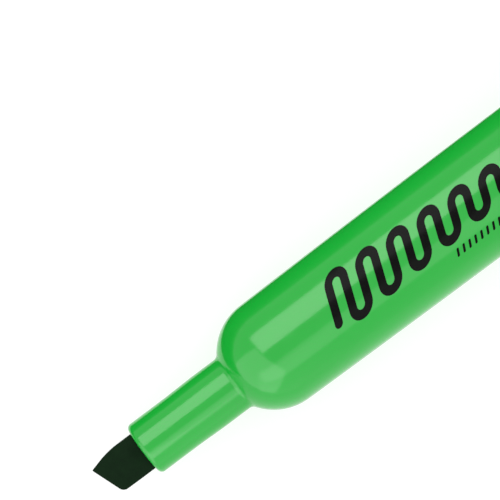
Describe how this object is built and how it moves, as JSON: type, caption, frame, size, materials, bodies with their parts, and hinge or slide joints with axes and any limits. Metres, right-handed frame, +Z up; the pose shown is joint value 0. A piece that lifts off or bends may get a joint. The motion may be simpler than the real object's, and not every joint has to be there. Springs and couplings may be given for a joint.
{
  "type": "highlighter",
  "caption": "Chisel-tip highlighter with a stepped neck, a bowed round barrel, a sliding posted cap and a sprung pocket clip.",
  "frame": {"origin": "on the surface that the clip lies on, below the middle of the pen's box; the pen's own axis is level and 12.9 mm up", "axes": "+X along the pen from the nib to the crown of the posted cap, +Z up, the nib's broad faces facing up and down, the clip underneath"},
  "size_m": [0.1482, 0.0202, 0.023],
  "materials": {
    "green_plastic": "glossy injection-moulded green polypropylene, printed in black on the barrel",
    "nib_fibre": "bonded fibre, soaked dark green with ink",
    "inked_fibre": "ink-soaked polyester fibre bundle",
    "clear_film": "thin clear film",
    "natural_plastic": "uncoloured satin plastic"
  },
  "bodies": {
    "barrel": {"barrel": "green_plastic", "nib": "nib_fibre", "ink_reservoir": "inked_fibre", "reservoir_film": "clear_film", "breather_tube": "natural_plastic", "end_plug": "green_plastic"},
    "cap": {"cap_shell": "green_plastic", "cap_liner": "natural_plastic"},
    "clip": {"cap_clip": "green_plastic"}
  },
  "joints": [
    {"name": "cap_slide", "type": "slide", "parent": "barrel", "child": "cap", "axis": [1, 0, 0], "range_m": [0, 0.06]},
    {"name": "clip_flex", "type": "hinge", "parent": "cap", "child": "clip", "pos_m": [0.0681, 0, 0.0019], "axis": [0, -1, 0], "range_deg": [0, 6], "stiffness_Nm_per_rad": 3}
  ]
}
